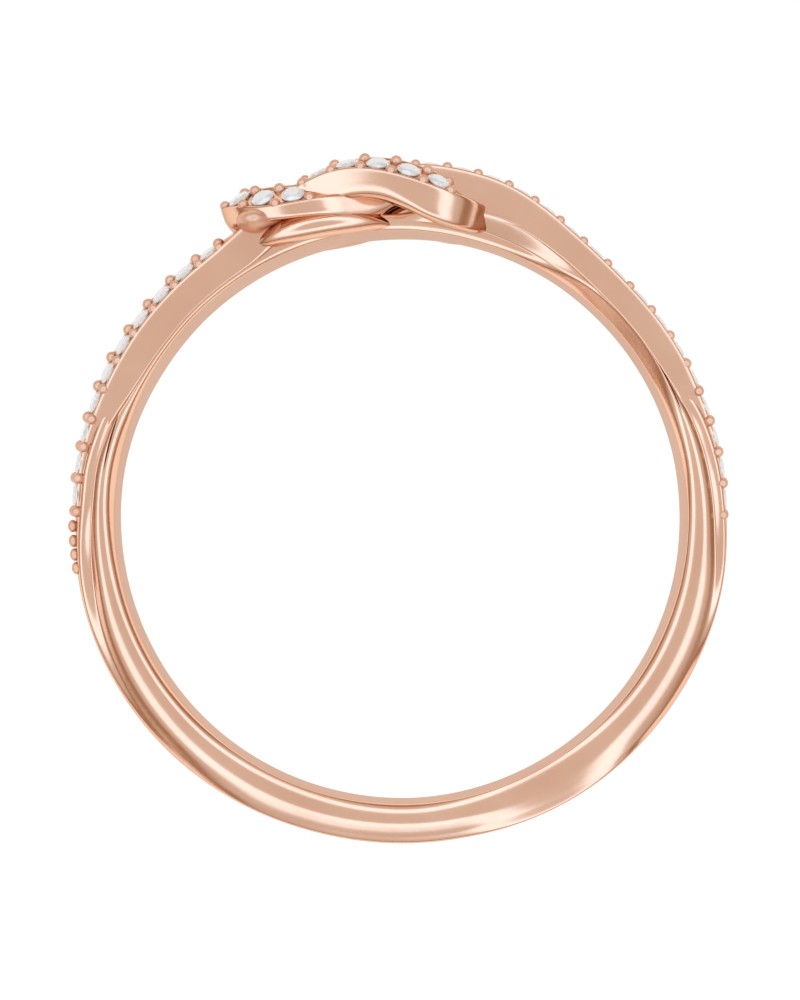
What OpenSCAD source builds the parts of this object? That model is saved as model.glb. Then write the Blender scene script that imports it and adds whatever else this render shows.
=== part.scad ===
// Knot ring. A plain domed shank splits on both shoulders into a near and a far strand.
// The two strands from the left join in one bend and so do the two from the right, and
// the two loops hook through each other on top as in a reef knot. The strands carry rows
// of small brilliant-cut stones held by round beads. The ring lies on its side, as it
// comes to rest by itself: its finger hole points up and the knot is at +Y.

/* [Finger hole and shank] */
// Inside diameter of the finger hole
hole_d = 17.3; // [17.1:0.05:17.5]
// Thickness of the shank at the bottom
shank_t = 1.22; // [1.18:0.01:1.3]
// Width of the shank at the bottom
shank_w = 1.8; // [1.7:0.05:2]

/* [Knot] */
// Overall width of the knot, measured along the finger
knot_w = 4.2; // [3.9:0.05:4.4]

/* [Stones] */
// Diameter of a stone at its girdle
stone_d = 0.72; // [0.66:0.01:0.76]
// Distance between the centres of neighbouring stones
stone_pitch = 0.96; // [0.94:0.01:0.98]
// Diameter of a setting bead
bead_d = 0.28; // [0.24:0.01:0.29]

/* [Rest] */
// Angle by which the knot's end is lifted where the ring lies on a flat surface
rest_pitch = 4.19; // [3:0.01:5]
// Sideways tilt where the ring lies on a flat surface
rest_roll = -0.75; // [-1:0.01:1]
// Height of the finger hole's centre above the surface
rest_height = 1.573; // [1.2:0.001:2.2]
// Sideways shift that brings the ring over the origin
centre_x = 0.077; // [-0.5:0.001:0.5]
// Lengthways shift that brings the ring over the origin
centre_y = -0.526; // [-1:0.001:0]

/* [Hidden] */

hole_r = hole_d / 2;
bottom_r = hole_r + shank_t;
// The strands' tables give their distance from the mid-plane for a knot 4.2 mm wide
side_scale = knot_w / 4.2;
// A small step along a path, in stations, for finding its direction
nudge = 0.02;
// Metal that is modelled inside the finger circle and cut away by the hole
overshoot = 1;
hole_reach = 4;

// Names of the columns in the tables of the strands
ANGLE = 0;
RADIUS = 1;
SIDE = 2;
HALF_H = 3;
HALF_W = 4;
LEAN = 5;

// One leg of the left loop, from inside the shank to the middle of its bend.
// Columns: angle round the finger, distance from its axis, distance from the mid-plane,
// half height and half width of the strand, and how far its top leans outwards.
left_leg = [
    [190, 9.52, 0.42, 0.20, 0.40, 18],
    [180, 9.60, 0.50, 0.27, 0.46, 22],
    [170, 9.61, 0.55, 0.30, 0.50, 24],
    [162, 9.57, 0.58, 0.34, 0.52, 25],
    [154, 9.51, 0.60, 0.42, 0.54, 25],
    [144, 9.50, 0.61, 0.44, 0.54, 25],
    [134, 9.50, 0.61, 0.44, 0.54, 24],
    [125.5, 9.47, 0.64, 0.44, 0.54, 20],
    [120, 9.52, 0.72, 0.45, 0.53, 12],
    [115.5, 9.66, 0.80, 0.44, 0.52, 6],
    [111, 9.82, 0.84, 0.46, 0.50, 6],
    [106.5, 9.98, 0.96, 0.52, 0.52, 12],
    [101.5, 10.14, 1.15, 0.56, 0.54, 18],
    [97, 10.15, 1.34, 0.58, 0.55, 25],
    [92.5, 10.02, 1.48, 0.59, 0.56, 31],
    [88, 9.80, 1.56, 0.59, 0.56, 34],
    [84.4, 9.60, 1.54, 0.58, 0.55, 33],
    [81.6, 9.44, 1.36, 0.56, 0.54, 26],
    [79.4, 9.30, 1.06, 0.50, 0.52, 14],
    [78, 9.28, 0.54, 0.44, 0.52, 4],
    [77.6, 9.28, 0.00, 0.42, 0.52, 0],
];

// One leg of the right loop, from the middle of its bend to inside the shank
right_leg = [
    [117.4, 10.46, 0.00, 0.46, 0.54, 0],
    [117.2, 10.44, 0.45, 0.46, 0.54, 8],
    [116, 10.32, 0.90, 0.44, 0.54, 20],
    [112.8, 10.06, 1.30, 0.42, 0.55, 36],
    [108.8, 9.84, 1.48, 0.43, 0.55, 40],
    [104.6, 9.70, 1.43, 0.44, 0.55, 36],
    [100.8, 9.52, 1.20, 0.44, 0.54, 20],
    [96.8, 9.50, 0.96, 0.46, 0.54, 6],
    [92.8, 9.88, 0.76, 0.46, 0.54, 2],
    [88, 10.11, 0.66, 0.55, 0.54, 2],
    [81, 10.07, 0.63, 0.60, 0.54, 2],
    [73, 9.99, 0.62, 0.59, 0.54, 2],
    [66, 9.85, 0.62, 0.50, 0.54, 3],
    [58, 9.62, 0.62, 0.43, 0.54, 4],
    [48, 9.44, 0.61, 0.43, 0.54, 5],
    [38, 9.42, 0.60, 0.43, 0.54, 6],
    [29, 9.43, 0.60, 0.41, 0.53, 7],
    [21, 9.50, 0.57, 0.33, 0.51, 8],
    [11, 9.57, 0.54, 0.28, 0.48, 8],
    [1, 9.57, 0.48, 0.24, 0.44, 8],
    [-9, 9.50, 0.40, 0.18, 0.38, 6],
];

// The rounded rib that carries the bend on either side of the inside band
rib_leg = [
    [118, 9.34, 0.60, 0.20, 0.44, 15],
    [114, 9.34, 1.02, 0.28, 0.50, 22],
    [109, 9.18, 1.28, 0.37, 0.54, 28],
    [104, 9.06, 1.32, 0.38, 0.54, 25],
    [99, 8.96, 1.16, 0.34, 0.52, 16],
    [94.5, 8.88, 0.88, 0.22, 0.40, 8],
    [91.5, 8.78, 0.70, 0.12, 0.26, 4],
];

// The hoop once round: the inside band under the knot, the left shoulder, the shank and
// the right shoulder. Columns: angle, outer radius, half width as a share of the shank's at
// the bottom, radius of the crown of its side, radius and depth of the groove in its side.
hoop_path = [
    [60, 9.28, 1.01, 8.90, 8.98, 0.00],
    [67, 9.50, 0.97, 8.90, 8.98, 0.00],
    [75, 9.60, 0.95, 8.90, 8.98, 0.00],
    [83, 9.36, 0.93, 8.90, 8.98, 0.00],
    [92, 9.12, 0.98, 8.88, 8.97, 0.00],
    [101, 9.20, 1.20, 8.90, 9.00, 0.00],
    [110, 9.24, 1.24, 8.92, 9.02, 0.00],
    [119, 9.16, 1.16, 8.90, 8.98, 0.00],
    [128, 9.12, 1.08, 8.88, 8.98, 0.00],
    [141, 9.12, 1.10, 8.88, 8.98, 0.00],
    [154, 9.24, 1.16, 8.92, 9.04, 0.00],
    [162, 9.54, 1.25, 8.98, 9.16, 0.06],
    [169, 9.72, 1.28, 9.00, 9.24, 0.10],
    [177, 9.81, 1.24, 9.00, 9.27, 0.10],
    [185, 9.90, 1.19, 9.03, 9.34, 0.10],
    [193, 9.98, 1.15, 9.07, 9.42, 0.10],
    [203, 10.02, 1.09, 9.10, 9.50, 0.10],
    [215, 10.03, 1.06, 9.12, 9.58, 0.08],
    [228, 10.01, 1.04, 9.12, 9.62, 0.04],
    [242, 9.95, 1.01, 9.12, 9.58, 0.01],
    [256, bottom_r + 0.02, 1.00, 9.12, 9.52, 0.00],
    [270, bottom_r, 1.00, 9.12, 9.50, 0.00],
    [284, bottom_r + 0.02, 1.00, 9.12, 9.52, 0.00],
    [298, 9.95, 1.01, 9.12, 9.58, 0.01],
    [312, 10.01, 1.04, 9.12, 9.62, 0.05],
    [325, 10.03, 1.06, 9.12, 9.60, 0.09],
    [337, 10.02, 1.09, 9.10, 9.56, 0.10],
    [347, 9.99, 1.15, 9.07, 9.50, 0.10],
    [355, 9.92, 1.19, 9.03, 9.42, 0.10],
    [363, 9.84, 1.23, 9.00, 9.34, 0.10],
    [371, 9.76, 1.24, 8.98, 9.28, 0.10],
    [379, 9.64, 1.21, 8.96, 9.22, 0.08],
    [387, 9.34, 1.14, 8.94, 9.08, 0.03],
    [397, 9.12, 1.09, 8.92, 9.00, 0.00],
    [408, 9.12, 1.05, 8.92, 9.00, 0.00],
];
W_SHARE = 2;
CROWN_R = 3;
GROOVE_R = 4;
GROOVE_D = 5;

// Cubic through four values, from the second to the third
function blend(a, b, c, d, t) =
    0.5 * (2 * b + (c - a) * t + (2 * a - 5 * b + 4 * c - d) * t * t
           + (3 * b - a - 3 * c + d) * t * t * t);

// A row of a table at a place between its rows
function row_at(rows, u) =
    let (last = len(rows) - 1, i = max(0, min(floor(u), last - 1)))
    blend(rows[max(i - 1, 0)], rows[i], rows[i + 1], rows[min(i + 2, last)], u - i);

// The same on a table that closes on itself after one turn
function turned(rows, i) =
    let (n = len(rows), turns = floor(i / n), row = rows[i - turns * n])
    [for (c = [0:len(row) - 1]) row[c] + (c == ANGLE ? 360 * turns : 0)];
function closed_row_at(rows, u) =
    let (i = floor(u))
    blend(turned(rows, i - 1), turned(rows, i), turned(rows, i + 1), turned(rows, i + 2), u - i);

function across(row) = [for (i = [0:len(row) - 1]) i == SIDE ? -row[i] : row[i]];
function unit(v) = v / norm(v);
function radial(angle) = [cos(angle), sin(angle), 0];
function at(row) = row[RADIUS] * radial(row[ANGLE]) + [0, 0, row[SIDE] * side_scale];

// The whole loops: one leg, and its mirror image run the other way
left_loop = concat(
    left_leg, [for (i = [len(left_leg) - 2:-1:0]) across(left_leg[i])]);
right_loop = concat(
    [for (i = [len(right_leg) - 1:-1:1]) across(right_leg[i])], right_leg);
right_start = len(right_leg) - 1;

// Direction of a strand, then the directions of its side and of its top
function heading(rows, u) = unit(at(row_at(rows, u + nudge)) - at(row_at(rows, u - nudge)));
function frame(rows, u) =
    let (
        row = row_at(rows, u),
        along = heading(rows, u),
        out = radial(row[ANGLE]),
        up = unit(out - (out * along) * along),
        side = cross(along, up),
        lean = row[LEAN]
    )
    [side * cos(lean) - up * sin(lean), up * cos(lean) + side * sin(lean)];

// Rounded outline of a strand, squarer than an ellipse
STRAND_SIDES = 8;
squareness = 2.6;
function signed_power(v, p) = sign(v) * pow(abs(v), p);
function strand_ring(rows, u) =
    let (row = row_at(rows, u), axes = frame(rows, u), centre = at(row))
    [for (k = [0:STRAND_SIDES - 1])
        let (a = -(k + 0.5) * 360 / STRAND_SIDES)
        centre + row[HALF_W] * signed_power(cos(a), 2 / squareness) * axes[0]
               + row[HALF_H] * signed_power(sin(a), 2 / squareness) * axes[1]];

// Skin over a list of rings that have the same number of points
function walls(count, n, links) = [for (i = [0:links - 1], k = [0:n - 1])
    let (
        a = i * n + k,
        b = i * n + (k + 1) % n,
        c = ((i + 1) % count) * n + k,
        d = ((i + 1) % count) * n + (k + 1) % n
    )
    each [[a, c, b], [b, c, d]]];
module capped_skin(rings) {
    n = len(rings[0]);
    last = len(rings) - 1;
    polyhedron(
        points = [for (ring = rings) each ring],
        faces = concat(
            [[for (k = [0:n - 1]) k]],
            walls(last + 1, n, last),
            [[for (k = [n - 1:-1:0]) last * n + k]]));
}
module closed_skin(rings) {
    polyhedron(
        points = [for (ring = rings) each ring],
        faces = walls(len(rings), len(rings[0]), len(rings)));
}

// A strand has a ring on every row, and one between two rows where the knot winds
module strand(rows, wound) {
    last = len(rows) - 1;
    capped_skin([for (i = [0:2 * last])
        if (i % 2 == 0 || (i > 2 * wound && i < 2 * (last - wound))) strand_ring(rows, i / 2)]);
}

// Half of the hoop's outline as distance from the mid-plane and from the finger's axis
function half_outline(row) =
    let (
        w = shank_w / 2 * row[W_SHARE],
        top = row[RADIUS],
        crown = row[CROWN_R],
        groove = max(min(row[GROOVE_R], top - 0.05), crown + 0.06),
        cut = row[GROOVE_D],
        rise = top - groove
    )
    [
        [w - 0.34, hole_r - overshoot],
        [w, crown],
        [w - 0.05 - cut, groove],
        [w - 0.06 - 0.2 * cut, groove + 0.1 * rise + 0.3 * cut],
        [w * 0.80, groove + 0.72 * rise],
        [w * 0.42, top],
    ];
function hoop_ring(row) =
    let (half = half_outline(row), n = len(half))
    [for (k = [0:2 * n - 1])
        let (p = k < n ? half[k] : half[2 * n - 1 - k], side = k < n ? p[0] : -p[0])
        p[1] * radial(row[ANGLE]) + [0, 0, side]];

HOOP_STEP = 0.5;
module hoop() {
    closed_skin([for (u = [0:HOOP_STEP:len(hoop_path) - HOOP_STEP])
        hoop_ring(closed_row_at(hoop_path, u))]);
}

// Places along the top of a leg at equal distances, as stations of its loop
TRACE_STEP = 0.1;
function top_spot(rows, u) =
    let (row = row_at(rows, u)) at(row) + row[HALF_H] * frame(rows, u)[1];
function trace(rows, first, last) =
    let (us = [for (u = [first:TRACE_STEP:last]) u], spots = [for (u = us) top_spot(rows, u)])
    [for (i = 0, run = 0; i < len(us);
          run = run + (i + 1 < len(us) ? norm(spots[i + 1] - spots[i]) : 0), i = i + 1)
        [run, us[i]]];
function places(rows, first, last, start, count) =
    let (line = trace(rows, first, last))
    [for (i = [0:count - 1]) lookup((start + i) * stone_pitch, line)];

// Rows of stones on the near side, as stations of their loops
left_places = places(left_loop, 1.35, 8, 0.1, 10);
middle_places = places(left_loop, 10.6, 17.6, 0.1, 6);
right_places = places(right_loop, right_start + 8.4, 2 * right_start, 0.36, 17);
bend_half = places(right_loop, right_start, right_start + 6, 0, 4);
bend_places = [for (i = [-3:3]) right_start + sign(i) * (bend_half[abs(i)] - right_start)];

// Puts a child on the top of a strand, with its own Z along the strand's top direction
module on_strand(rows, u, sideways = 0, lift = 0) {
    row = row_at(rows, u);
    axes = frame(rows, u);
    along = cross(axes[1], axes[0]);
    spot = at(row) + sideways * axes[0] + (row[HALF_H] + lift) * axes[1];
    multmatrix([
        [axes[0][0], along[0], axes[1][0], spot[0]],
        [axes[0][1], along[1], axes[1][1], spot[1]],
        [axes[0][2], along[2], axes[1][2], spot[2]],
        [0, 0, 0, 1]
    ]) children();
}

// Round brilliant: an octagonal table, sixteen crown facets and a pointed pavilion
FACETS = 8;
stone_r = stone_d / 2;
table_r = stone_r * 0.56;
crown_h = stone_d * 0.15;
pavilion_h = stone_d * 0.40;
girdle_sink = 0.03;
module stone() {
    ring = [for (k = [0:FACETS - 1]) k * 360 / FACETS];
    polyhedron(
        points = concat(
            [for (a = ring) [table_r * cos(a), table_r * sin(a), crown_h]],
            [for (a = ring)
                let (b = a + 180 / FACETS) [stone_r * cos(b), stone_r * sin(b), 0]],
            [[0, 0, -pavilion_h]]),
        faces = concat(
            [[for (k = [FACETS - 1:-1:0]) k]],
            [for (k = [0:FACETS - 1]) [k, (k + 1) % FACETS, FACETS + k]],
            [for (k = [0:FACETS - 1])
                [(k + 1) % FACETS, FACETS + (k + 1) % FACETS, FACETS + k]],
            [for (k = [0:FACETS - 1])
                [FACETS + k, FACETS + (k + 1) % FACETS, 2 * FACETS]]));
}

// The cut seat of one stone: a cone that clears the pavilion and the girdle by a small gap
seat_gap = 0.04;
seat_depth = pavilion_h + 0.13;
seat_top = 0.4;
module seat() {
    flare = (stone_r + seat_gap) / seat_depth;
    height = seat_depth + seat_top;
    translate([0, 0, -seat_depth])
        rotate(180 / FACETS)
            cylinder(r1 = 0, r2 = height * flare, h = height, $fn = FACETS);
}

// A setting bead: a short five-sided post that narrows to a flat crown
BEAD_SIDES = 5;
bead_foot = 0.2;
bead_crown = 0.07;
module bead() {
    translate([0, 0, -bead_foot])
        cylinder(d1 = bead_d, d2 = bead_d * 0.7, h = bead_foot + bead_crown, $fn = BEAD_SIDES);
}

// Beads stand between the stones, and one pair beyond each end of a row
bead_aside = stone_r;
module bead_pairs(rows, us) {
    step = us[1] - us[0];
    last = len(us) - 1;
    ends = [us[0] - step / 2, us[last] + (us[last] - us[last - 1]) / 2];
    middles = [for (i = [0:last - 1]) (us[i] + us[i + 1]) / 2];
    for (u = concat(ends, middles), side = [-1, 1])
        on_strand(rows, u, side * bead_aside) bead();
}

module stone_row(rows, us) {
    for (u = us)
        on_strand(rows, u, 0, -girdle_sink) stone();
}
module seat_row(rows, us) {
    for (u = us)
        on_strand(rows, u, 0, -girdle_sink) seat();
}
module both_sides() {
    children();
    mirror([0, 0, 1]) children();
}

// Lays the ring on its side, with the hole up and the knot's end lifted on its own width
module laid() {
    translate([centre_x, centre_y, rest_height])
        rotate([rest_pitch, rest_roll, 0]) children();
}

// The whole casting before the finger hole. A resize to nothing keeps every size.
module casting() {
    resize([0, 0, 0])
        difference() {
            union() {
                hoop();
                strand(left_loop, 8);
                strand(right_loop, 11);
                both_sides() {
                    strand(rib_leg, 0);
                    bead_pairs(left_loop, left_places);
                    bead_pairs(left_loop, middle_places);
                    bead_pairs(right_loop, right_places);
                }
                bead_pairs(right_loop, bend_places);
            }
            both_sides() {
                seat_row(left_loop, left_places);
                seat_row(left_loop, middle_places);
                seat_row(right_loop, right_places);
            }
            seat_row(right_loop, bend_places);
        }
}

module ring_body() {
    color("#dba688") laid() difference() {
        casting();
        translate([0, 0, -hole_reach])
            cylinder(r = hole_r, h = 2 * hole_reach, $fn = 120);
    }
}

module near_stones(rows, us) {
    color("#eef3f8") laid() stone_row(rows, us);
}
module far_stones(rows, us) {
    color("#eef3f8") laid() mirror([0, 0, 1]) stone_row(rows, us);
}
module stones_left_near() { near_stones(left_loop, left_places); }
module stones_left_far() { far_stones(left_loop, left_places); }
module stones_right_near() { near_stones(right_loop, right_places); }
module stones_right_far() { far_stones(right_loop, right_places); }
module stones_middle_near() { near_stones(left_loop, middle_places); }
module stones_middle_far() { far_stones(left_loop, middle_places); }
module stones_bend() { near_stones(right_loop, bend_places); }

ring_body();
stones_left_near();
stones_left_far();
stones_right_near();
stones_right_far();
stones_middle_near();
stones_middle_far();
stones_bend();
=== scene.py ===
import math
import bmesh
import bpy
from mathutils import Matrix, Vector


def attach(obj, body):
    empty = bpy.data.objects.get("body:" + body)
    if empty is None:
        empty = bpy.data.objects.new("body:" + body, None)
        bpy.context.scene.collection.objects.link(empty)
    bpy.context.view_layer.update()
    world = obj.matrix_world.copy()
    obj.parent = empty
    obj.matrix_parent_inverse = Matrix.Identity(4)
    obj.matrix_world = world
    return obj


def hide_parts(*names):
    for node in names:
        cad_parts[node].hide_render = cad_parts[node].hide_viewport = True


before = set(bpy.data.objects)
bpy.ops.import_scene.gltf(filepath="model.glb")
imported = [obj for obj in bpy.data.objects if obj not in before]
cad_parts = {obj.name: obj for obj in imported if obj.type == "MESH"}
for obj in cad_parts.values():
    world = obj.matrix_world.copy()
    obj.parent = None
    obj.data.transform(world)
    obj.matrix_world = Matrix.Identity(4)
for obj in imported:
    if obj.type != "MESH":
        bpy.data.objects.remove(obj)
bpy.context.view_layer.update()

# The ring is modelled in millimetres about the finger's axis, knot at +Y, near side at +Z,
# and every piece is then laid down in the frame.
ring = {"holeR": 8.65, "tilt": 4.19, "roll": -0.75, "centre": (0.077, -0.526, 1.573)}
laid = (Matrix.Translation(ring["centre"])
        @ Matrix.Rotation(math.radians(ring["roll"]), 4, "Y")
        @ Matrix.Rotation(math.radians(ring["tilt"]), 4, "X"))
toFrame = Matrix.Scale(0.001, 4) @ laid


# Reading a table: u counts its rows, and what lies between two rows is a smooth curve
def blend(a, b, c, d, t):
    return 0.5 * (2 * b + (c - a) * t + (2 * a - 5 * b + 4 * c - d) * t * t
                  + (3 * b - a - 3 * c + d) * t ** 3)


def rowAt(rows, u):
    last = len(rows) - 1
    i = max(0, min(int(math.floor(u)), last - 1))
    four = rows[max(i - 1, 0)], rows[i], rows[i + 1], rows[min(i + 2, last)]
    return [blend(*values, u - i) for values in zip(*four)]


def radial(angle):
    return Vector((math.cos(math.radians(angle)), math.sin(math.radians(angle)), 0))


def spotOf(row):
    return row[1] * radial(row[0]) + Vector((0, 0, row[2]))


def axesAt(rows, u):
    row, nudge = rowAt(rows, u), 0.02
    along = (spotOf(rowAt(rows, u + nudge)) - spotOf(rowAt(rows, u - nudge))).normalized()
    out = radial(row[0])
    up = (out - out.dot(along) * along).normalized()
    return row, spotOf(row), along.cross(up), up


def leanedAxes(rows, u):
    row, centre, side, up = axesAt(rows, u)
    lean = math.radians(row[5])
    return (row, centre, side * math.cos(lean) - up * math.sin(lean),
            up * math.cos(lean) + side * math.sin(lean))


def across(row):
    return row[:2] + [-row[2]] + row[3:]


# Making pieces: outlines are extruded one after the other into a skin
def freshStart():
    if bpy.context.mode != "OBJECT":
        bpy.ops.object.mode_set(mode="OBJECT")
    bpy.ops.object.select_all(action="DESELECT")


def moveSelected(old, new):
    mesh = bmesh.from_edit_mesh(bpy.context.object.data)
    for v in mesh.verts:
        if v.select:
            near = min(range(len(old)), key=lambda k: (v.co - old[k]).length_squared)
            v.co = new[near]
    bmesh.update_edit_mesh(bpy.context.object.data)


def skin(name, outlines, closed=False):
    freshStart()
    count = len(outlines[0])
    bpy.ops.mesh.primitive_circle_add(vertices=count, radius=1)
    obj = bpy.context.object
    obj.name = obj.data.name = name
    bpy.ops.object.mode_set(mode="EDIT")
    mesh = bmesh.from_edit_mesh(obj.data)
    for v, p in zip(mesh.verts, outlines[0]):
        v.co = p
    bmesh.update_edit_mesh(obj.data)
    for before, after in zip(outlines, outlines[1:]):
        bpy.ops.mesh.extrude_region_move()
        moveSelected(before, after)
    bpy.ops.mesh.select_all(action="SELECT")
    if closed:
        bpy.ops.mesh.remove_doubles(threshold=0.0005)
    else:
        bpy.ops.mesh.select_all(action="DESELECT")
        bpy.ops.mesh.select_non_manifold()
        bpy.ops.mesh.edge_face_add()
        bpy.ops.mesh.select_all(action="SELECT")
    bpy.ops.mesh.normals_make_consistent(inside=False)
    bpy.ops.object.mode_set(mode="OBJECT")
    return obj


def addModifier(obj, kind, **values):
    bpy.context.view_layer.objects.active = obj
    modifier = obj.modifiers.new(kind.title(), kind)
    for key, value in values.items():
        setattr(modifier, key, value)
    bpy.ops.object.modifier_apply(modifier=modifier.name)


def turnOutwards():
    bpy.ops.object.mode_set(mode="EDIT")
    bpy.ops.mesh.select_all(action="SELECT")
    bpy.ops.mesh.normals_make_consistent(inside=False)
    bpy.ops.object.mode_set(mode="OBJECT")


def finishPiece(obj, material, slot, *nodes, smooth=60):
    freshStart()
    obj.select_set(True)
    bpy.context.view_layer.objects.active = obj
    bpy.ops.object.shade_smooth_by_angle(angle=math.radians(smooth))
    obj.matrix_world = toFrame @ obj.matrix_world
    bpy.ops.object.transform_apply(location=True, rotation=True, scale=True)
    obj.data.materials.clear()
    obj.data.materials.append(material)
    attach(obj, "root")
    if nodes:
        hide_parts(*nodes)
    print("made", obj.name, len(obj.data.polygons), "faces")


def joinAll(name, parts):
    freshStart()
    for part in parts:
        part.select_set(True)
    bpy.context.view_layer.objects.active = parts[0]
    if len(parts) > 1:
        bpy.ops.object.join()
    joined = bpy.context.object
    joined.name = joined.data.name = name
    bpy.ops.object.transform_apply(location=True, rotation=True, scale=True)
    return joined


# Materials
class Wire:
    def __init__(self, tree, socket):
        self.tree, self.socket = tree, socket

    def maths(self, operation, first, second):
        return self.tree.node("ShaderNodeMath", {"operation": operation}, {0: first, 1: second})[0]

    def __add__(self, other): return self.maths("ADD", self, other)
    def __radd__(self, other): return self.maths("ADD", other, self)
    def __sub__(self, other): return self.maths("SUBTRACT", self, other)
    def __rsub__(self, other): return self.maths("SUBTRACT", other, self)
    def __mul__(self, other): return self.maths("MULTIPLY", self, other)
    def __rmul__(self, other): return self.maths("MULTIPLY", other, self)


class NodeTree:
    def __init__(self, owner):
        owner.use_nodes = True
        self.tree = owner.node_tree
        self.tree.nodes.clear()

    def node(self, kind, settings=None, sockets=None):
        made = self.tree.nodes.new(kind)
        for key, value in (settings or {}).items():
            if key == "stops":
                stops = made.color_ramp.elements        # a new ramp has two
                for k, (place, colour) in enumerate(value):
                    stop = stops[k] if k < 2 else stops.new(place)
                    stop.position = place
                    stop.color = (*colour, 1)
            else:
                setattr(made, key, value)
        for key, value in (sockets or {}).items():
            if isinstance(value, Wire):
                self.tree.links.new(value.socket, made.inputs[key])
            else:
                made.inputs[key].default_value = value
        return [Wire(self, out) for out in made.outputs]


roseGold = {"deep": (0.79, 0.465, 0.322), "pale": (0.85, 0.525, 0.373), "edge": (0.70, 0.60, 0.52),
            "polished": 0.18, "soft": 0.46, "uneven": 0.08,    # roughness, and how far it varies
            "cloudScale": 400.0, "grainScale": 9000.0, "bump": 0.04, "bumpHeight": 0.00002}


def makeRoseGold(name, roughness):
    material = bpy.data.materials.new(name)
    tree = NodeTree(material)
    coords = tree.node("ShaderNodeTexCoord")[3]
    cloud = tree.node("ShaderNodeTexNoise", {}, {
        "Vector": coords, "Scale": roseGold["cloudScale"], "Detail": 3.0})[0]
    grain = tree.node("ShaderNodeTexNoise", {}, {
        "Vector": coords, "Scale": roseGold["grainScale"], "Detail": 2.0})[0]
    colour = tree.node("ShaderNodeValToRGB", {
        "stops": [(0.3, roseGold["deep"]), (0.7, roseGold["pale"])]}, {"Fac": cloud})[0]
    bump = tree.node("ShaderNodeBump", {}, {
        "Height": grain, "Strength": roseGold["bump"], "Distance": roseGold["bumpHeight"]})[0]
    shader = tree.node("ShaderNodeBsdfPrincipled", {}, {
        "Base Color": colour, "Metallic": 1.0, "Normal": bump,
        "Roughness": roughness + roseGold["uneven"] * (grain - 0.5),
        "Specular Tint": (*roseGold["edge"], 1)})[0]
    tree.node("ShaderNodeOutputMaterial", {}, {"Surface": shader})
    return material


stoneGlass = {"colour": (1.0, 0.91, 0.83), "roughness": 0.01, "ior": 2.3, "clear": 0.28}


def makeStoneGlass():
    material = bpy.data.materials.new("clearStone")
    tree = NodeTree(material)
    shader = tree.node("ShaderNodeBsdfPrincipled", {}, {
        "Base Color": (*stoneGlass["colour"], 1), "Metallic": 0.0,
        "Roughness": stoneGlass["roughness"], "IOR": stoneGlass["ior"],
        "Transmission Weight": stoneGlass["clear"]})[0]
    tree.node("ShaderNodeOutputMaterial", {}, {"Surface": shader})
    return material


gold = makeRoseGold("roseGold", roseGold["polished"])
softGold = makeRoseGold("roseGoldSoft", roseGold["soft"])
clear = makeStoneGlass()
print("materials made")

# The strands. Columns: angle, distance from the axis, distance from the mid-plane, half height,
# half width, lean of the top outwards, share of the wall that curls under, depth of its foot.
leftLeg = [
    [190, 9.52, 0.40, 0.18, 0.30, 10, 0.15, 0.00],
    [180, 9.60, 0.49, 0.27, 0.33, 12, 0.15, 0.00],
    [170, 9.61, 0.54, 0.30, 0.35, 14, 0.15, 0.00],
    [163, 9.57, 0.56, 0.34, 0.40, 18, 0.15, 0.05],
    [154, 9.51, 0.60, 0.42, 0.52, 25, 0.10, 0.22],
    [144, 9.50, 0.61, 0.44, 0.54, 25, 0.06, 0.27],
    [134, 9.50, 0.61, 0.44, 0.54, 25, 0.06, 0.27],
    [125.5, 9.47, 0.64, 0.44, 0.54, 20, 0.06, 0.25],
    [120, 9.52, 0.72, 0.45, 0.53, 12, 0.10, 0.27],
    [115.5, 9.66, 0.80, 0.44, 0.52, 6, 0.25, 0.30],
    [111, 9.82, 0.84, 0.46, 0.50, 6, 0.40, 0.20],
    [106.5, 9.98, 0.96, 0.52, 0.52, 12, 0.35, 0.10],
    [101.5, 10.14, 1.15, 0.56, 0.54, 18, 0.35, 0.00],
    [97, 10.15, 1.34, 0.58, 0.55, 25, 0.45, 0.00],
    [92.5, 10.02, 1.48, 0.59, 0.56, 31, 0.52, 0.00],
    [88, 9.80, 1.56, 0.59, 0.56, 34, 0.38, 0.06],
    [84.4, 9.60, 1.54, 0.58, 0.55, 33, 0.26, 0.13],
    [82, 9.47, 1.42, 0.56, 0.54, 28, 0.20, 0.14],
    [80, 9.38, 1.22, 0.54, 0.53, 21, 0.20, 0.09],
    [78.2, 9.33, 0.97, 0.50, 0.52, 14, 0.20, 0.05],
    [76.6, 9.38, 0.68, 0.43, 0.51, 8, 0.20, 0.02],
    [75.2, 9.54, 0.38, 0.33, 0.50, 4, 0.20, 0.00],
    [74, 9.60, 0.00, 0.30, 0.50, 0, 0.20, 0.00],
]
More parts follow.
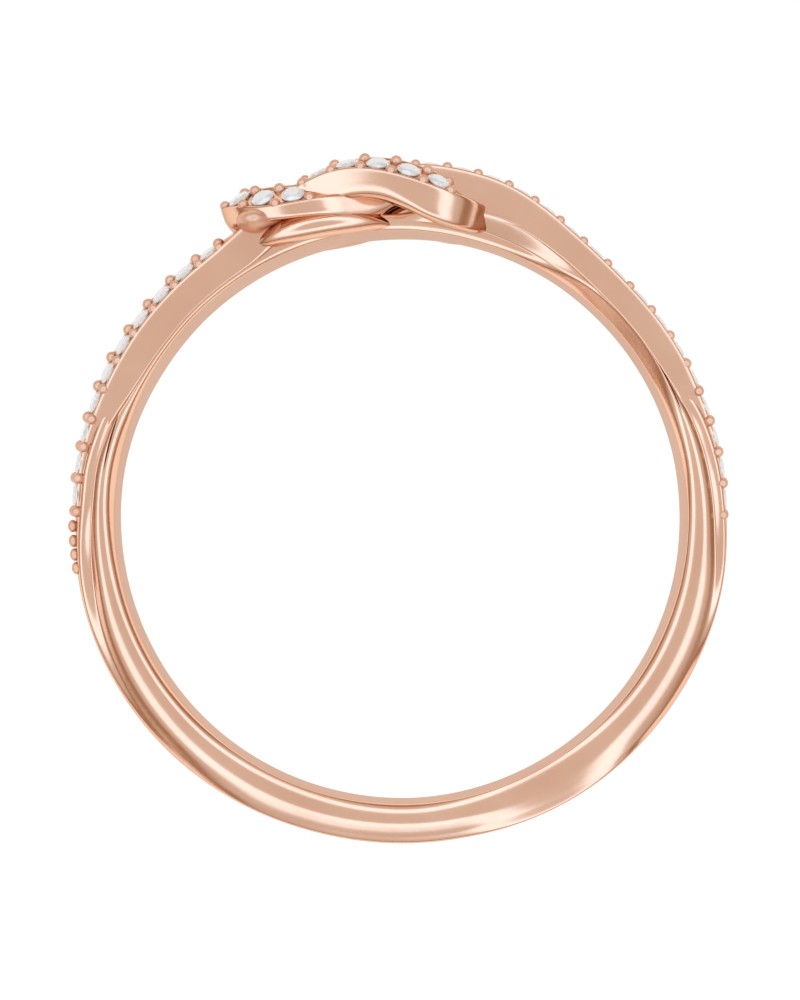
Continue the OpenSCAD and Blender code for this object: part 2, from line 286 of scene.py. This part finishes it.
rightLeg = [
    [117.4, 10.46, 0.00, 0.46, 0.54, 0, 0.50, 0.00],
    [117.2, 10.44, 0.45, 0.46, 0.54, 8, 0.50, 0.00],
    [116, 10.32, 0.90, 0.44, 0.54, 20, 0.45, 0.00],
    [112.8, 10.06, 1.30, 0.42, 0.55, 36, 0.40, 0.00],
    [108.8, 9.84, 1.48, 0.43, 0.55, 40, 0.35, 0.00],
    [104.6, 9.70, 1.43, 0.44, 0.55, 36, 0.35, 0.04],
    [100.8, 9.52, 1.20, 0.44, 0.54, 20, 0.45, 0.08],
    [96.8, 9.50, 0.96, 0.46, 0.54, 6, 0.45, 0.10],
    [92.8, 9.88, 0.76, 0.46, 0.54, 2, 0.35, 0.15],
    [88, 10.11, 0.66, 0.55, 0.54, 2, 0.20, 0.04],
    [81, 10.07, 0.63, 0.60, 0.54, 2, 0.10, 0.02],
    [73, 9.99, 0.62, 0.59, 0.54, 2, 0.06, 0.00],
    [66, 9.85, 0.62, 0.50, 0.54, 3, 0.06, 0.00],
    [58, 9.62, 0.62, 0.43, 0.54, 4, 0.10, 0.02],
    [48, 9.44, 0.61, 0.43, 0.54, 5, 0.08, 0.00],
    [38, 9.42, 0.60, 0.43, 0.54, 6, 0.08, 0.00],
    [29, 9.43, 0.60, 0.41, 0.52, 7, 0.10, 0.00],
    [21, 9.50, 0.55, 0.33, 0.40, 8, 0.15, 0.00],
    [11, 9.57, 0.52, 0.28, 0.35, 8, 0.15, 0.00],
    [1, 9.57, 0.46, 0.24, 0.33, 8, 0.15, 0.00],
    [-9, 9.50, 0.38, 0.16, 0.30, 6, 0.15, 0.00],
]
leftLoop = leftLeg + [across(row) for row in leftLeg[-2::-1]]
rightLoop = [across(row) for row in rightLeg[:0:-1]] + rightLeg
rightStart = len(rightLeg) - 1

# The rounded rib that carries the bend on either side of the inside band: a plain bar. Columns:
# angle, distance from the axis, distance from the mid-plane, half height, half width, lean.
rib = {"sides": 16, "steps": 3, "smooth": 1}
ribLeg = [
    [118, 9.34, 0.60, 0.20, 0.44, 15],
    [114, 9.32, 1.14, 0.30, 0.54, 22],
    [109, 9.20, 1.42, 0.42, 0.56, 28],
    [104, 9.10, 1.44, 0.43, 0.56, 25],
    [99, 9.00, 1.24, 0.38, 0.54, 16],
    [94.5, 8.92, 0.92, 0.24, 0.42, 8],
    [91.5, 8.78, 0.70, 0.12, 0.26, 4],
]

# A strand's section: a sunk channel for the stones between two rails ("lip" and "edge" are how far
# in and down their edges are rounded), an outer wall that splays at the bend and curls under in the
# knot, the underside (shares of the half width and of the foot) and the inner wall (shares of the
# half width and half height).
strand = {"steps": 3, "smooth": 1, "rail": 0.13, "sunk": 0.05, "lip": (0.03, 0.01),
          "edge": (0.05, 0.06), "heel": 0.12, "heelReach": 2.6,
          "wall": (0.0, 0.35, 0.7, 1.0), "curl": (30, 60, 85), "curlIn": 0.8,
          "under": ((0.3, 1.0), (-0.3, 0.5)), "inner": ((0.9, -0.8), (1, -0.4), (1, 0.3))}


def strandOutline(rows, u, heelAt=None):
    row, centre, side, up = axesAt(rows, u)
    h, w, lean, curl, foot = row[3], row[4], math.radians(row[5]), row[6], row[7]
    rail, low, c, s = w - strand["rail"], h - strand["sunk"], math.cos(lean), math.sin(lean)
    lip, edge = strand["lip"], strand["edge"]

    def leaned(sideways, upwards):
        return sideways * c + upwards * s, upwards * c - sideways * s

    channel = [(0.0, low), (0.5 * rail, low), (rail - lip[0], low), (rail, h - lip[1]),
               (w - edge[0], h)]
    wallOut, wallTop = leaned(w, h - edge[1])
    drop = wallTop + h + foot
    heel = 0.0
    if heelAt is not None:
        heel = strand["heel"] * max(0.0, 1 - (abs(u - heelAt) / strand["heelReach"]) ** 2)
    wall = []
    for share in strand["wall"]:
        wall.append((wallOut + heel * share * (1 - curl), wallTop - drop * share * (1 - curl)))
    for turn in strand["curl"]:
        a = math.radians(turn)
        tucked = strand["curlIn"] * curl * drop * (1 - math.cos(a))
        wall.append((wallOut + heel * (1 - curl) - tucked,
                     wallTop - drop * (1 - curl + curl * math.sin(a))))
    under = [(a * w, -h - b * foot) for a, b in strand["under"]]
    inner = [leaned(-a * w, b * h) for a, b in strand["inner"]] + [leaned(-w, h - edge[1])]
    full = ([leaned(*p) for p in channel] + wall + under + inner
            + [leaned(-a, b) for a, b in channel[:0:-1]])
    return [centre + a * side + b * up for a, b in full]


def makeStrand(name, rows, heelAt=None):
    last = (len(rows) - 1) * strand["steps"]
    obj = skin(name, [strandOutline(rows, i / strand["steps"], heelAt) for i in range(last + 1)])
    addModifier(obj, "SUBSURF", levels=strand["smooth"], render_levels=strand["smooth"])
    return obj


leftStrand = makeStrand("left_loop", leftLoop)
rightStrand = makeStrand("right_loop", rightLoop, rightStart)
print("strands modelled")


def ribOutline(rows, u):
    row, centre, side, top = leanedAxes(rows, u)
    turns = [math.radians(k * 360 / rib["sides"]) for k in range(rib["sides"])]
    return [centre + row[4] * math.sin(a) * side + row[3] * math.cos(a) * top for a in turns]


def makeRibs():
    parts = []
    for rows in (ribLeg, [across(row) for row in ribLeg]):
        last = (len(rows) - 1) * rib["steps"]
        parts.append(skin("rib", [ribOutline(rows, i / rib["steps"]) for i in range(last + 1)]))
    piece = joinAll("knot_ribs", parts)
    addModifier(piece, "SUBSURF", levels=rib["smooth"], render_levels=rib["smooth"])
    return piece


finishPiece(makeRibs(), gold, "rose_gold")

# The hoop: shank, shoulders and the band that closes the inside, once round. Columns: angle,
# outer radius, half width, crown radius, groove radius, groove depth, rounding of the inner edge,
# how far that edge is a plain chamfer, how far the outer band stands proud, outward flare above
# the crown.
hoopRows = [
    [134, 9.20, 1.21, 8.77, 8.83, 0.00, 0.5, 0.0, 0.0, 0.0],
    [148, 9.20, 1.20, 8.78, 8.84, 0.00, 0.6, 0.0, 0.0, 0.0],
    [156, 9.34, 1.16, 8.86, 8.96, 0.04, 1.0, 0.0, 0.5, 0.0],
    [160, 9.66, 1.14, 8.98, 9.13, 0.10, 1.2, 0.0, 1.0, 0.0],
    [165, 9.82, 1.15, 9.00, 9.20, 0.10, 1.6, 0.0, 1.0, 0.0],
    [171, 9.86, 1.15, 9.02, 9.26, 0.09, 1.8, 0.0, 1.0, 0.0],
    [177, 9.88, 1.12, 9.02, 9.27, 0.09, 1.6, 0.0, 1.0, 0.0],
    [184, 9.92, 1.08, 9.00, 9.36, 0.11, 1.2, 0.0, 0.8, 0.0],
    [192, 9.98, 1.05, 9.00, 9.47, 0.14, 1.0, 0.0, 0.4, 0.0],
    [202, 10.02, 1.03, 8.98, 9.64, 0.16, 1.0, 0.0, 0.1, 0.0],
    [214, 10.03, 1.00, 8.98, 9.73, 0.16, 1.0, 0.0, 0.0, 0.0],
    [226, 10.02, 0.96, 9.02, 9.76, 0.15, 0.9, 0.0, 0.0, 0.0],
    [238, 9.97, 0.93, 9.08, 9.72, 0.06, 0.7, 0.0, 0.0, 0.0],
    [252, 9.90, 0.91, 9.12, 9.62, 0.00, 0.7, 0.0, 0.0, 0.0],
    [270, 9.89, 0.90, 9.12, 9.60, 0.00, 0.95, 0.0, 0.0, 0.0],
    [281, 9.90, 0.90, 9.13, 9.60, 0.00, 0.72, 0.0, 0.0, 0.0],
    [291, 9.93, 0.91, 9.14, 9.60, 0.00, 0.50, 0.0, 0.0, 0.0],
    [302, 9.97, 0.93, 9.14, 9.68, 0.00, 0.45, 0.0, 0.0, 0.0],
    [312, 10.01, 0.95, 9.13, 9.76, 0.03, 0.60, 0.0, 0.0, 0.0],
    [321, 10.03, 0.98, 9.12, 9.80, 0.08, 0.80, 0.0, 0.0, 0.0],
    [330, 10.03, 1.00, 9.11, 9.80, 0.10, 0.95, 0.0, 0.0, 0.0],
    [339, 10.02, 1.02, 9.10, 9.77, 0.10, 0.90, 0.0, 0.1, 0.0],
    [348, 9.99, 1.05, 9.06, 9.66, 0.09, 0.80, 0.0, 0.3, 0.0],
    [356, 9.93, 1.08, 9.04, 9.50, 0.07, 0.70, 0.0, 0.9, 0.0],
    [364, 9.87, 1.11, 9.00, 9.42, 0.08, 0.80, 0.0, 1.0, 0.0],
    [372, 9.83, 1.12, 8.98, 9.34, 0.08, 1.2, 0.0, 1.0, 0.0],
    [379, 9.76, 1.12, 8.97, 9.25, 0.09, 1.2, 0.2, 1.0, 0.0],
    [385, 9.50, 1.12, 8.96, 9.10, 0.06, 1.1, 0.6, 0.9, 0.0],
    [391, 9.20, 1.13, 8.98, 9.03, 0.03, 1.0, 0.9, 0.3, 0.0],
    [400, 9.12, 1.14, 9.00, 9.05, 0.00, 1.0, 1.0, 0.0, 0.0],
    [410, 9.16, 1.09, 8.96, 9.02, 0.00, 1.0, 0.9, 0.0, 0.05],
    [418, 9.40, 0.92, 8.86, 8.92, 0.00, 0.7, 0.4, 0.0, 0.26],
    [426, 9.52, 0.84, 8.92, 8.98, 0.00, 0.5, 0.0, 0.0, 0.38],
    [434, 9.56, 0.86, 8.98, 9.04, 0.00, 0.4, 0.0, 0.0, 0.36],
    [442, 9.40, 0.98, 8.95, 9.01, 0.00, 0.4, 0.0, 0.0, 0.20],
    [450, 9.18, 1.10, 8.92, 8.98, 0.00, 0.4, 0.0, 0.0, 0.0],
    [458, 9.18, 1.18, 8.92, 8.98, 0.00, 0.4, 0.0, 0.0, 0.0],
    [466, 9.26, 1.28, 8.92, 9.00, 0.00, 0.4, 0.0, 0.0, 0.0],
    [474, 9.24, 1.28, 8.86, 8.92, 0.00, 0.4, 0.0, 0.0, 0.0],
    [482, 9.20, 1.23, 8.78, 8.84, 0.00, 0.4, 0.0, 0.0, 0.0],
    [494, 9.20, 1.21, 8.77, 8.83, 0.00, 0.5, 0.0, 0.0, 0.0],
]

# One side of the section, from the bore to the top. "inner": inset and height of the points between
# the bore's edge and the crown. "fall": from the crown to the groove, the way along and the drop
# there, on an even slope and on one that steepens towards the groove. Outside the groove the face
# either slants on to the top ("ledge": inset by the tilt and further, heights from the groove and
# from the top) or stands proud as a band of its own ("dome": inset, height over the groove).
hoop = {"steps": 4, "smooth": 2, "chamfer": 0.38, "sag": 0.16, "sagSpan": 0.45,
        "level": 0.4, "topRound": 0.005,        # plain share of bore and top, and its rounding
        "flatEdge": 0.35,                       # rounding of the edge below which faces are flat
        "proudFrom": 0.1, "steepFrom": 0.15,    # groove depths that bring the full effect
        "tilt": (0.7, 0.3),                     # of the ledge: always, and for a steep fall
        "grooveRoom": (0.08, 0.04),             # least room under the top and over the crown
        "flareRoom": (0.12, 0.1),               # room over the flare, and its least height
        "inner": ((0.26, 0.0), (0.2, 0.05), (0.1, 0.28), (0.045, 0.5), (0.012, 0.75)),
        "fall": ((0.2, 0.05, 0.03), (0.35, 0.16, 0.10), (0.5, 0.32, 0.21),
                 (0.65, 0.50, 0.37), (0.8, 0.68, 0.60), (1.0, 0.97, 0.97)),
        "ledge": ((0.03, 0.0), (0.11, 0.0), (0.17, 0.0), (0.22, 0.06)),
        "ledgeUp": 0.05, "ledgeDown": (0.11, 0.045, 0.012),
        "domeFoot": (0.75, 0.06), "dome": ((0.06, 0.17), (0.08, 0.29)),
        "domeTop": (0.2, 0.44, 0.06)}


def hoopOutline(u):
    angle, top, w, crown, groove, carved, edge, flat, proud, flare = rowAt(hoopRows, u)
    r0, level = ring["holeR"], hoop["level"] * w
    groove = max(min(groove, top - hoop["grooveRoom"][0]), crown + hoop["grooveRoom"][1])
    span, inner = groove - crown, crown - r0
    stands = min(carved / hoop["proudFrom"], 1) * max(0.0, proud)   # 0: a ledge, 1: a dome
    falls = min(carved / hoop["steepFrom"], 1)                      # 0: even, 1: steepening
    swell = max(0.0, min((edge - hoop["flatEdge"]) / hoop["flatEdge"], 1))
    tilt = swell * (hoop["tilt"][0] + hoop["tilt"][1] * falls)
    deep = hoop["sag"] * swell * min((span / hoop["sagSpan"]) ** 2, 1) + carved
    half = [(0.0, r0), (level, r0)]
    for rounded, height in hoop["inner"]:
        chamfered = hoop["chamfer"] * (1 - height)
        half.append((w - rounded * edge * (1 - flat) - chamfered * flat, r0 + height * inner))
    half.append((w, crown))
    for along, even, steep in hoop["fall"]:
        half.append((w - (even + falls * (steep - even)) * deep, crown + along * span))
    heights = [groove + hoop["ledgeUp"]] + [top - down for down in hoop["ledgeDown"]]
    ledge = [(deep + share * tilt + more, r) for (share, more), r in zip(hoop["ledge"], heights)]
    share, rise = hoop["domeFoot"]
    domed = [(share * deep, groove + rise)] + [(a, groove + b) for a, b in hoop["dome"]]
    inset, rise, below = hoop["domeTop"]
    domed.append((inset, min(groove + rise, top - below)))
    half += [(w - a[0] * (1 - stands) - b[0] * stands, a[1] * (1 - stands) + b[1] * stands)
             for a, b in zip(ledge, domed)]
    half += [(level, top - hoop["topRound"]), (0.0, top)]
    reach = max(top - hoop["flareRoom"][0] - crown, hoop["flareRoom"][1])
    flared = []
    for aside, r in half:
        share = min(max((r - crown) / reach, 0), 1)
        flared.append((aside + max(0.0, flare) * share if aside > 0.5 * w else aside, r))
    full = flared + [(-aside, r) for aside, r in flared[-2:0:-1]]
    return [r * radial(angle) + Vector((0, 0, aside)) for aside, r in full]


def makeHoop():
    last = (len(hoopRows) - 1) * hoop["steps"]
    outlines = [hoopOutline(i / hoop["steps"]) for i in range(last)]
    obj = skin("shank", outlines + [outlines[0]], closed=True)
    addModifier(obj, "SUBSURF", levels=hoop["smooth"], render_levels=hoop["smooth"])
    return obj


shank = makeHoop()
print("hoop modelled")

# A thin pointed slit runs along each shoulder where a strand leaves the inner band
slit = {"r": 9.02, "ends": ((159.5, 171.0), (20.5, 31.0)), "half": 0.045, "point": 0.002,
        "floor": 0.86, "open": 1.45, "narrowing": 0.3, "steps": 12}


def slitCutters():
    parts = []
    corners = ((-slit["narrowing"], slit["floor"]), (slit["narrowing"], slit["floor"]),
               (1, slit["open"]), (-1, slit["open"]))
    for first, last in slit["ends"]:
        for side in (1, -1):
            outlines = []
            for k in range(slit["steps"] + 1):
                t = k / slit["steps"]
                half = slit["half"] * math.sin(math.pi * t) + slit["point"]
                out = radial(first + (last - first) * t)
                outlines.append([(slit["r"] + a * half) * out + Vector((0, 0, side * z))
                                 for a, z in corners])
            parts.append(skin("slitTool", outlines))
    return parts


# The left strand bulges out under the bend, towards the knot in a blunt point
bulb = {"centre": (-4.34, 8.87), "side": 1.50, "half": (0.56, 0.33, 0.66), "tip": 0.30,
        "narrowing": 0.45, "slope": 3.0, "segments": 32, "rings": 20}


def makeBulbs():
    parts = []
    for side in (1, -1):
        freshStart()
        bpy.ops.mesh.primitive_uv_sphere_add(
            segments=bulb["segments"], ring_count=bulb["rings"], radius=1)
        one = bpy.context.object
        for v in one.data.vertices:
            ahead = max(v.co.x, 0)
            narrow = 1 - bulb["narrowing"] * ahead ** 2
            v.co = (bulb["half"][0] * v.co.x + bulb["tip"] * ahead ** 4,
                    bulb["half"][1] * v.co.y * narrow, bulb["half"][2] * v.co.z * narrow)
        spot = Vector((*bulb["centre"], side * bulb["side"]))
        one.matrix_world = (Matrix.Translation(spot)
                            @ Matrix.Rotation(math.radians(bulb["slope"]), 4, "Z"))
        parts.append(one)
    return joinAll("strand_bulbs", parts)


finishPiece(makeBulbs(), softGold, "rose_gold", smooth=80)


# Rows of stones along the top of a strand, one pitch apart. A run has its first and last row in the
# strand's table, the way to the first stone as a share of the pitch, and a count.
stones = {"diameter": 0.72, "pitch": 0.96, "sink": 0.03, "tracing": 0.1,
          "left": (1.35, 8, 0.1, 10), "middle": (10.6, 17.6, 0.1, 6),
          "right": (rightStart + 8.4, 2 * rightStart, 0.36, 17),
          "halfBend": (rightStart, rightStart + 6, 0, 4)}


def onTop(rows, u):
    row, centre, _, top = leanedAxes(rows, u)
    return centre + row[3] * top


def trace(rows, first, last):
    line, run, u, spot = [(0.0, first)], 0.0, first, onTop(rows, first)
    while u < last - stones["tracing"] / 2:
        u += stones["tracing"]
        after = onTop(rows, u)
        run += (after - spot).length
        spot = after
        line.append((run, u))
    return line


def places(rows, first, last, start, count):
    line = trace(rows, first, last)
    found = []
    for i in range(count):
        want = (start + i) * stones["pitch"]
        for (runA, uA), (runB, uB) in zip(line, line[1:]):
            if runA <= want <= runB:
                found.append(uA + (uB - uA) * (want - runA) / (runB - runA))
                break
    return found


leftPlaces = places(leftLoop, *stones["left"])
middlePlaces = places(leftLoop, *stones["middle"])
rightPlaces = places(rightLoop, *stones["right"])
bendHalf = places(rightLoop, *stones["halfBend"])
bendPlaces = [2 * rightStart - u for u in bendHalf[:0:-1]] + bendHalf
mirrored = Matrix.Scale(-1, 4, (0, 0, 1))


def topOf(rows, u, sideways=0.0, lift=0.0, far=False):
    row, centre, side, top = leanedAxes(rows, u)
    spot = centre + sideways * side + (row[3] + lift) * top
    along = top.cross(side)
    turn = Matrix((side, along, top)).transposed().to_4x4()
    placed = Matrix.Translation(spot) @ turn
    return mirrored @ placed if far else placed


# Seats are cut into the strands before the stones go in
seat = {"gap": 0.02, "depth": 0.46, "rise": 0.30, "sides": 24}


def seatCones(rows, us, sides=(False, True)):
    parts = []
    flare = (stones["diameter"] / 2 + seat["gap"]) / seat["depth"]
    tall = seat["depth"] + seat["rise"]
    lift = (seat["rise"] - seat["depth"]) / 2 - stones["sink"]
    for u in us:
        for far in sides:
            freshStart()
            bpy.ops.mesh.primitive_cone_add(
                vertices=seat["sides"], radius1=0, radius2=flare * tall, depth=tall)
            one = bpy.context.object
            one.matrix_world = topOf(rows, u, lift=lift, far=far)
            parts.append(one)
    return parts


def cutAway(obj, cutters):
    tool = joinAll("cutTool", cutters)
    turnOutwards()
    addModifier(obj, "BOOLEAN", operation="DIFFERENCE", object=tool, solver="EXACT")
    bpy.data.objects.remove(tool)
    print("cut", obj.name, len(obj.data.polygons), "faces")


cutAway(leftStrand, seatCones(leftLoop, leftPlaces) + seatCones(leftLoop, middlePlaces)
        + slitCutters())
cutAway(rightStrand, seatCones(rightLoop, rightPlaces)
        + seatCones(rightLoop, bendPlaces, (False,)) + slitCutters())
cutAway(shank, seatCones(leftLoop, leftPlaces) + seatCones(rightLoop, rightPlaces) + slitCutters())
finishPiece(leftStrand, gold, "rose_gold", smooth=50)
finishPiece(rightStrand, gold, "rose_gold", smooth=50)
finishPiece(shank, gold, "rose_gold")

# A round stone, cut from a cylinder. Rows of facets: count, turn of the first, share of the radius,
# height, slope; the stars stand round the table and have its height.
stoneCut = {"girdle": 16, "blank": 1.4, "table": 0.55, "crown": 0.15, "hair": 1e-6,
            "upper": ((16, 11.25, 1, 0.012, 41), (8, 0, 0.985, 0.02, 34)),
            "stars": (8, 22.5, 1.02, 21),
            "lower": ((16, 11.25, 1, -0.012, 42.5), (8, 0, 0.99, -0.012, 40.5))}


def cutStone():
    freshStart()
    r = stones["diameter"] / 2
    bpy.ops.mesh.primitive_cylinder_add(
        vertices=stoneCut["girdle"], radius=r, depth=stoneCut["blank"] * stones["diameter"])
    obj = bpy.context.object
    obj.name = "cutStone"
    bpy.ops.object.mode_set(mode="EDIT")
    crown = stoneCut["crown"] * 2 * r

    def facets(count, turn, radius, height, steep, up):
        for k in range(count):
            a = math.radians(turn + k * 360 / count)
            s = math.radians(steep)
            spot = (radius * math.cos(a), radius * math.sin(a), height)
            normal = (math.sin(s) * math.cos(a), math.sin(s) * math.sin(a), math.cos(s) * up)
            bpy.ops.mesh.select_all(action="SELECT")
            bpy.ops.mesh.bisect(plane_co=spot, plane_no=normal, use_fill=True,
                                clear_outer=True, threshold=stoneCut["hair"])

    bpy.ops.mesh.select_all(action="SELECT")
    bpy.ops.mesh.bisect(plane_co=(0, 0, crown), plane_no=(0, 0, 1), use_fill=True, clear_outer=True)
    for count, turn, share, height, steep in stoneCut["upper"]:
        facets(count, turn, r * share, height, steep, 1)
    count, turn, share, steep = stoneCut["stars"]
    facets(count, turn, r * stoneCut["table"] * share, crown, steep, 1)
    for count, turn, share, height, steep in stoneCut["lower"]:
        facets(count, turn, r * share, height, steep, -1)
    bpy.ops.object.mode_set(mode="OBJECT")
    return obj


master = cutStone()
print("stone faces", len(master.data.polygons))


def stoneRow(name, node, rows, us, far=False):
    parts = []
    for u in us:
        one = master.copy()
        one.data = master.data.copy()
        bpy.context.collection.objects.link(one)
        one.matrix_world = topOf(rows, u, lift=-stones["sink"], far=far)
        parts.append(one)
    piece = joinAll(name, parts)
    if far:
        turnOutwards()
    finishPiece(piece, clear, "stone", node, smooth=1)


stoneRow("cut_stones_left_near", "stones_left_near", leftLoop, leftPlaces)
stoneRow("cut_stones_left_far", "stones_left_far", leftLoop, leftPlaces, True)
stoneRow("cut_stones_right_near", "stones_right_near", rightLoop, rightPlaces)
stoneRow("cut_stones_right_far", "stones_right_far", rightLoop, rightPlaces, True)
stoneRow("cut_stones_middle_near", "stones_middle_near", leftLoop, middlePlaces)
stoneRow("cut_stones_middle_far", "stones_middle_far", leftLoop, middlePlaces, True)
stoneRow("cut_stones_bend", "stones_bend", rightLoop, bendPlaces)
bpy.data.objects.remove(master)

# Setting beads: a pair between every two stones and at both ends of a run, the bigger one on the
# inner rail, and four that trail off along each side of the left shoulder
bead = {"radius": 0.165, "ridge": 0.185, "aside": 0.36, "lift": -0.03, "segments": 16, "rings": 10,
        "tail": 0.155, "tailR": 9.93, "tailSide": 0.62, "tailStretch": (0.9, 1.25, 1, 1),
        "tailAngles": (181.4, 184.0, 186.4, 188.8)}


def ball(radius, placed):
    freshStart()
    bpy.ops.mesh.primitive_uv_sphere_add(
        segments=bead["segments"], ring_count=bead["rings"], radius=radius)
    bpy.context.object.matrix_world = placed
    return bpy.context.object


def beadRow(rows, us, far):
    between = [(a + b) / 2 for a, b in zip(us, us[1:])]
    first, last = us[0] - (us[1] - us[0]) / 2, us[-1] + (us[-1] - us[-2]) / 2
    parts = []
    for u in [first] + between + [last]:
        for side, size in ((-1, bead["ridge"]), (1, bead["radius"])):
            parts.append(ball(size, topOf(rows, u, side * bead["aside"], bead["lift"], far)))
    return parts


def makeBeads():
    parts = []
    for far in (False, True):
        aside = bead["tailSide"] * (-1 if far else 1)
        for angle in bead["tailAngles"]:
            spot = bead["tailR"] * radial(angle) + Vector((0, 0, aside))
            placed = (Matrix.Translation(spot) @ Matrix.Rotation(math.radians(angle), 4, "Z")
                      @ Matrix.Diagonal(bead["tailStretch"]))
            parts.append(ball(bead["tail"], placed))
        parts += beadRow(leftLoop, leftPlaces, far)
        parts += beadRow(leftLoop, middlePlaces, far)
        parts += beadRow(rightLoop, rightPlaces, far)
    parts += beadRow(rightLoop, bendPlaces, False)
    piece = joinAll("setting_beads", parts)
    turnOutwards()
    return piece


finishPiece(makeBeads(), softGold, "rose_gold")
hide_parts("ring_body")

# Floor and light. The studio is lit in rings about the finger's axis: a warm dim horizon, a grey
# side, a wide cool soft ring and a grey patch straight above. Each has its tone and its widest and
# narrowest angle from the axis.
studio = {"floor": (0.36, 0.33, 0.30), "roughness": 0.9, "glow": 0.80, "floorSize": 2,
          "rings": (((0.40, 0.25, 0.15), 180, 77), ((0.74, 0.73, 0.72), 69, 58),
                    ((1.40, 1.78, 2.15), 50, 32), ((0.80, 0.80, 0.80), 25, 0))}
freshStart()
bpy.ops.mesh.primitive_plane_add(size=studio["floorSize"])
floor = bpy.context.object
floor.name = "floor"
paper = bpy.data.materials.new("palePaper")
paperTree = NodeTree(paper)
paperShader = paperTree.node("ShaderNodeBsdfPrincipled", {}, {
    "Base Color": (*studio["floor"], 1), "Roughness": studio["roughness"],
    "Emission Color": (1, 1, 1, 1), "Emission Strength": studio["glow"]})[0]
paperTree.node("ShaderNodeOutputMaterial", {}, {"Surface": paperShader})
floor.data.materials.append(paper)

world = bpy.data.worlds.new("studio")
bpy.context.scene.world = world
sky = NodeTree(world)
direction = sky.node("ShaderNodeTexCoord")[0]
axis = laid.to_3x3() @ Vector((0, 0, 1))
height = sky.node("ShaderNodeVectorMath", {"operation": "DOT_PRODUCT"},
                  {0: direction, 1: axis})[1]
toneStops = [(max(math.cos(math.radians(angle)), 0.0), tone)
             for tone, *angles in studio["rings"] for angle in angles]
light = sky.node("ShaderNodeValToRGB", {"stops": toneStops}, {"Fac": height})[0]
background = sky.node("ShaderNodeBackground", {}, {"Color": light, "Strength": 1.0})[0]
sky.node("ShaderNodeOutputWorld", {}, {"Surface": background})
bpy.context.scene.view_settings.view_transform = "Standard"

# Camera on the finger's axis. "centre": where that axis is in the picture, in pixels from its top
# left corner.
lens = {"distance": 60.0, "pxPerMm": 32.7, "centre": (400.6, 518.0), "picture": (800, 1000),
        "sensor": 24, "clip": 0.001}
cameraData = bpy.data.cameras.new("camera")
camera = bpy.data.objects.new("camera", cameraData)
bpy.context.collection.objects.link(camera)
place = laid @ Matrix.Translation((0, 0, lens["distance"]))
place.translation *= 0.001
camera.matrix_world = place
wide, high = lens["picture"]
cameraData.sensor_fit = "VERTICAL"
cameraData.sensor_height = lens["sensor"]
cameraData.lens = lens["distance"] * lens["pxPerMm"] / high * lens["sensor"]
cameraData.shift_x = -(lens["centre"][0] - wide / 2) / high
cameraData.shift_y = (lens["centre"][1] - high / 2) / high
cameraData.clip_start = lens["clip"]
bpy.context.scene.camera = camera

bpy.context.view_layer.update()
